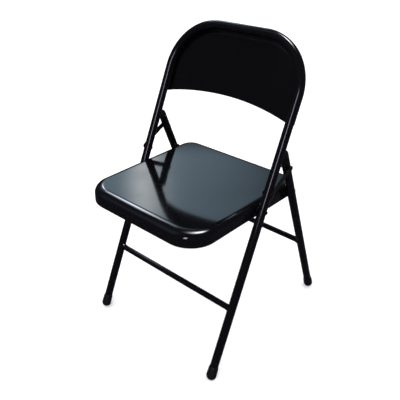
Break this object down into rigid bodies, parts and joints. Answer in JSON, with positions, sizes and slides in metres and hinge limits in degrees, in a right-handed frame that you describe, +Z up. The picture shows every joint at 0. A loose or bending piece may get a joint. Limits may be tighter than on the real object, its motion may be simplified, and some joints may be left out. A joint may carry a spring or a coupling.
{
  "type": "folding chair",
  "caption": "Black enamelled steel folding chair with tube frame, pressed sheet seat and curved sheet backrest, standing open.",
  "frame": {"origin": "on the floor, at the middle of the chair's overall width and depth when open", "axes": "+Z up, +Y towards the rear of the chair, +X to the right when looking at the chair from the front"},
  "size_m": [0.4546, 0.5288, 0.8068],
  "materials": {
    "frame_enamel": "gloss black enamel on steel tube",
    "sheet_enamel": "gloss black enamel on pressed sheet steel",
    "hardware_enamel": "black enamel on rivets, washers and spacers",
    "foot_rubber": "satin black moulded rubber",
    "plug_plastic": "satin black moulded plastic"
  },
  "bodies": {
    "front_frame": {"front_frame_tube": "frame_enamel", "front_brace": "frame_enamel", "backrest_panel": "sheet_enamel", "foot_cap_front_left": "foot_rubber", "foot_cap_front_right": "foot_rubber", "link_front_rivet_left": "hardware_enamel", "link_front_rivet_right": "hardware_enamel", "link_front_washer_left": "hardware_enamel", "link_front_washer_right": "hardware_enamel", "seat_front_rivet_left": "hardware_enamel", "seat_front_rivet_right": "hardware_enamel", "seat_front_spacer_left": "hardware_enamel", "seat_front_spacer_right": "hardware_enamel"},
    "link_left": {"link_left": "frame_enamel"},
    "link_right": {"link_right": "frame_enamel"},
    "rear_legs": {"rear_leg_left": "frame_enamel", "rear_leg_right": "frame_enamel", "rear_brace": "frame_enamel", "rear_leg_plug_left": "plug_plastic", "rear_leg_plug_right": "plug_plastic", "foot_cap_rear_left": "foot_rubber", "foot_cap_rear_right": "foot_rubber", "link_rear_rivet_left": "hardware_enamel", "link_rear_rivet_right": "hardware_enamel", "link_rear_washer_left": "hardware_enamel", "link_rear_washer_right": "hardware_enamel", "seat_rear_rivet_left": "hardware_enamel", "seat_rear_rivet_right": "hardware_enamel", "seat_rear_spacer_left": "hardware_enamel", "seat_rear_spacer_right": "hardware_enamel"},
    "seat": {"seat_pan": "sheet_enamel", "seat_side_plate_left": "frame_enamel", "seat_side_plate_right": "frame_enamel"}
  },
  "joints": [
    {"name": "fold", "type": "hinge", "parent": "front_frame", "child": "link_left", "pos_m": [0, -0.01049, 0.45749], "axis": [-1, 0, 0], "range_deg": [0, 128.5]},
    {"name": "link_right_turn", "type": "hinge", "parent": "front_frame", "child": "link_right", "pos_m": [0, -0.01049, 0.45749], "axis": [-1, 0, 0], "range_deg": [0, 128.5]},
    {"name": "rear_legs_turn", "type": "hinge", "parent": "link_left", "child": "rear_legs", "pos_m": [0, 0.06742, 0.49988], "axis": [1, 0, 0], "range_deg": [0, 82.55]},
    {"name": "seat_turn", "type": "hinge", "parent": "rear_legs", "child": "seat", "pos_m": [0, 0.0972, 0.42064], "axis": [-1, 0, 0], "range_deg": [0, 63.41]}
  ],
  "couplings": [
    {"joint": "link_right_turn", "follows": "fold", "ratio": 1},
    {"joint": "rear_legs_turn", "follows": "fold", "ratio": 0.64239},
    {"joint": "seat_turn", "follows": "fold", "ratio": 0.49341}
  ]
}
